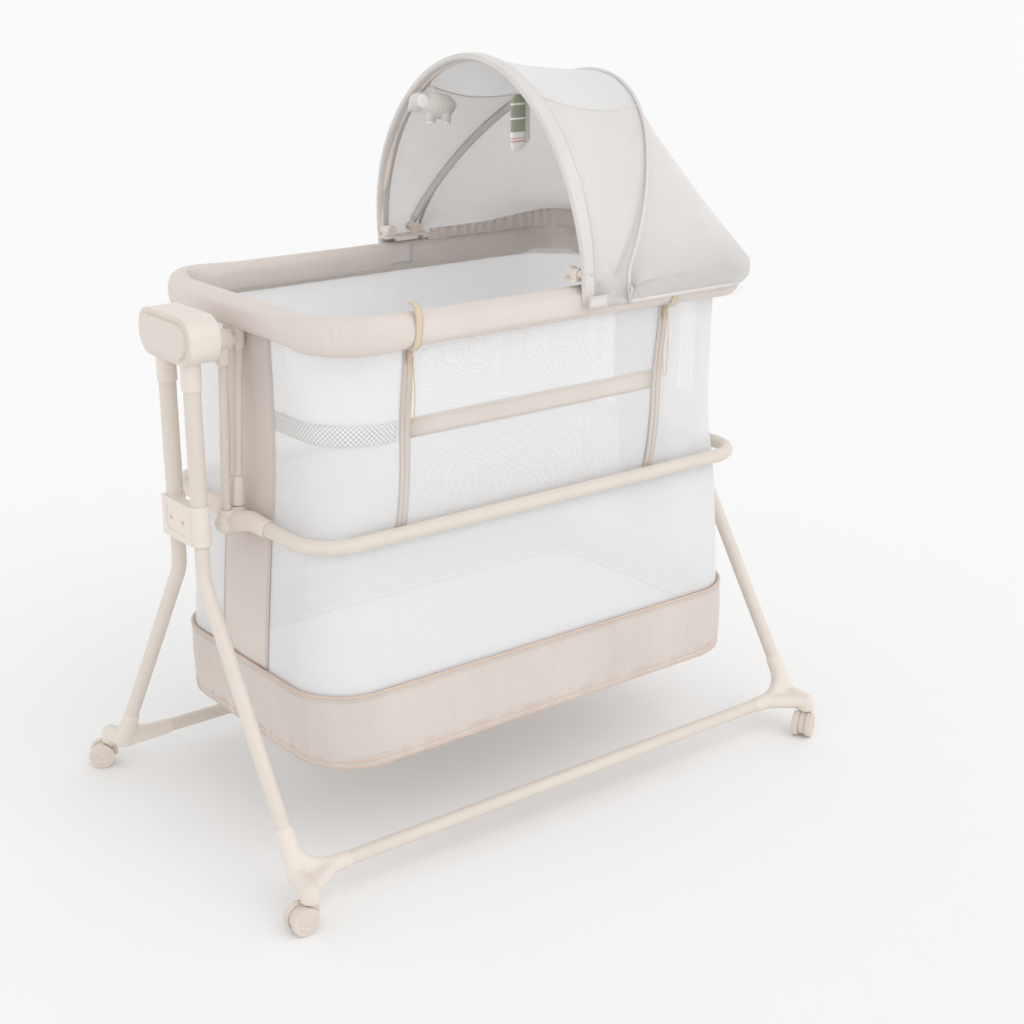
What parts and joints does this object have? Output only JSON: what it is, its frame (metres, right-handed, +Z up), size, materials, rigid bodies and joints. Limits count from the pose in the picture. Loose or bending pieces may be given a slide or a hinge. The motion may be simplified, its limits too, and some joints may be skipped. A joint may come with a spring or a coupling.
{
  "type": "bassinet on stand",
  "caption": "Swinging mesh bassinet on a tubular steel stand with casters, with a folding canopy and hanging toys.",
  "frame": {"origin": "on the floor under the centre of the stand", "axes": "+X to the canopy end, -Y the side with the zips, +Z up"},
  "size_m": [1.0898, 0.7, 1.1555],
  "materials": {
    "frame_paint": "satin cream powder coat",
    "frame_plastic": "matte cream moulding",
    "caster_plastic": "satin beige nylon",
    "fabric_beige": "fine plain-woven polyester",
    "mesh_white": "open knitted mesh",
    "mattress_white": "white knitted cover",
    "trim_tape": "woven zip tape and ribbon",
    "toy_plush": "short plush",
    "toy_cloth": "printed cotton",
    "board": "fibreboard under fabric",
    "steel": "plated steel"
  },
  "bodies": {
    "stand": {"foot_front_left": "frame_plastic", "lower_leg_front_left": "frame_paint", "foot_front_right": "frame_plastic", "lower_leg_front_right": "frame_paint", "foot_rear_left": "frame_plastic", "lower_leg_rear_left": "frame_paint", "foot_rear_right": "frame_plastic", "lower_leg_rear_right": "frame_paint", "base_rail_front": "frame_paint", "base_rail_rear": "frame_paint", "upper_legs_left": "frame_paint", "upper_legs_right": "frame_paint", "leg_bracket_left": "frame_plastic", "leg_bracket_right": "frame_plastic", "housing_shell_left": "frame_plastic", "housing_shell_right": "frame_plastic", "housing_cap_left": "frame_plastic", "housing_cap_right": "frame_plastic", "pivot_blocks": "frame_plastic", "pivot_bearings": "steel", "bracket_screws": "steel"},
    "cradle": {"hanger_head_left": "frame_plastic", "hanger_head_right": "frame_plastic", "ring_joint_left": "frame_plastic", "ring_joint_right": "frame_plastic", "pivot_shafts": "steel", "hanger_tubes": "frame_paint", "rim_connectors": "frame_plastic", "rim_posts": "frame_paint", "post_sleeves": "frame_plastic", "ring_tube_front": "frame_paint", "ring_tube_rear": "frame_paint", "rim_tube_front": "frame_paint", "rim_tube_rear": "frame_paint", "rim_padding": "fabric_beige", "mesh_body": "mesh_white", "end_panels": "fabric_beige", "zip_bands": "trim_tape", "cross_band": "fabric_beige", "base_band": "fabric_beige", "base_board": "board", "mattress": "mattress_white", "canopy_clamp_front": "frame_plastic", "canopy_clamp_rear": "frame_plastic", "canopy_cover_rear": "fabric_beige"},
    "canopy_front": {"canopy_hoop_front": "frame_plastic"},
    "canopy_rear": {"canopy_hoop_rear": "frame_plastic", "canopy_cover_front": "fabric_beige"},
    "toy_animal": {"toy_animal": "toy_plush"},
    "toy_panel": {"toy_panel": "toy_cloth"},
    "zip_slider_left": {"zip_slider_left": "trim_tape"},
    "zip_slider_right": {"zip_slider_right": "trim_tape"},
    "caster_front_left": {"caster_hood_front_left": "frame_plastic"},
    "wheels_front_left": {"caster_wheels_front_left": "caster_plastic"},
    "caster_front_right": {"caster_hood_front_right": "frame_plastic"},
    "wheels_front_right": {"caster_wheels_front_right": "caster_plastic"},
    "caster_rear_left": {"caster_hood_rear_left": "frame_plastic"},
    "wheels_rear_left": {"caster_wheels_rear_left": "caster_plastic"},
    "caster_rear_right": {"caster_hood_rear_right": "frame_plastic"},
    "wheels_rear_right": {"caster_wheels_rear_right": "caster_plastic"}
  },
  "joints": [
    {"name": "caster_swivel_front_left", "type": "hinge", "parent": "stand", "child": "caster_front_left", "pos_m": [-0.506, -0.318, 0.05], "axis": [0, 0, 1], "continuous": true},
    {"name": "wheel_spin_front_left", "type": "hinge", "parent": "caster_front_left", "child": "wheels_front_left", "pos_m": [-0.521, -0.318, 0.021], "axis": [0, -1, 0], "continuous": true},
    {"name": "caster_swivel_front_right", "type": "hinge", "parent": "stand", "child": "caster_front_right", "pos_m": [0.506, -0.318, 0.05], "axis": [0, 0, 1], "continuous": true},
    {"name": "wheel_spin_front_right", "type": "hinge", "parent": "caster_front_right", "child": "wheels_front_right", "pos_m": [0.49301, -0.3255, 0.021], "axis": [0.5, -0.866, 0], "continuous": true},
    {"name": "caster_swivel_rear_left", "type": "hinge", "parent": "stand", "child": "caster_rear_left", "pos_m": [-0.506, 0.318, 0.05], "axis": [0, 0, 1], "continuous": true},
    {"name": "wheel_spin_rear_left", "type": "hinge", "parent": "caster_rear_left", "child": "wheels_rear_left", "pos_m": [-0.51899, 0.3255, 0.021], "axis": [-0.5, -0.866, 0], "continuous": true},
    {"name": "caster_swivel_rear_right", "type": "hinge", "parent": "stand", "child": "caster_rear_right", "pos_m": [0.506, 0.318, 0.05], "axis": [0, 0, 1], "continuous": true},
    {"name": "wheel_spin_rear_right", "type": "hinge", "parent": "caster_rear_right", "child": "wheels_rear_right", "pos_m": [0.51899, 0.3255, 0.021], "axis": [-0.5, 0.866, 0], "continuous": true},
    {"name": "cradle_swing", "type": "hinge", "parent": "stand", "child": "cradle", "pos_m": [0, 0, 0.776], "axis": [1, 0, 0], "range_deg": [-15, 15]},
    {"name": "canopy_fold", "type": "hinge", "parent": "cradle", "child": "canopy_front", "pos_m": [0.03, 0, 0.856], "axis": [0, 1, 0], "range_deg": [0, 78], "deforming": ["canopy_cover_front", "canopy_cover_rear"]},
    {"name": "canopy_rear_fold", "type": "hinge", "parent": "cradle", "child": "canopy_rear", "pos_m": [0.086, 0, 0.856], "axis": [0, 1, 0], "range_deg": [0, 50], "deforming": ["canopy_cover_front", "canopy_cover_rear"]},
    {"name": "toy_animal_swing", "type": "hinge", "parent": "canopy_front", "child": "toy_animal", "pos_m": [0.03, 0.11, 1.112], "axis": [0, 1, 0], "range_deg": [-30, 30]},
    {"name": "toy_panel_swing", "type": "hinge", "parent": "canopy_front", "child": "toy_panel", "pos_m": [0.03, -0.11, 1.112], "axis": [0, 1, 0], "range_deg": [-30, 30]},
    {"name": "zip_left", "type": "slide", "parent": "cradle", "child": "zip_slider_left", "axis": [0, 0.0885, -0.9961], "range_m": [0, 0.14]},
    {"name": "zip_right", "type": "slide", "parent": "cradle", "child": "zip_slider_right", "axis": [0, 0.0885, -0.9961], "range_m": [0, 0.14]}
  ],
  "couplings": [
    {"joint": "canopy_rear_fold", "follows": "canopy_fold", "ratio": 0.64}
  ]
}
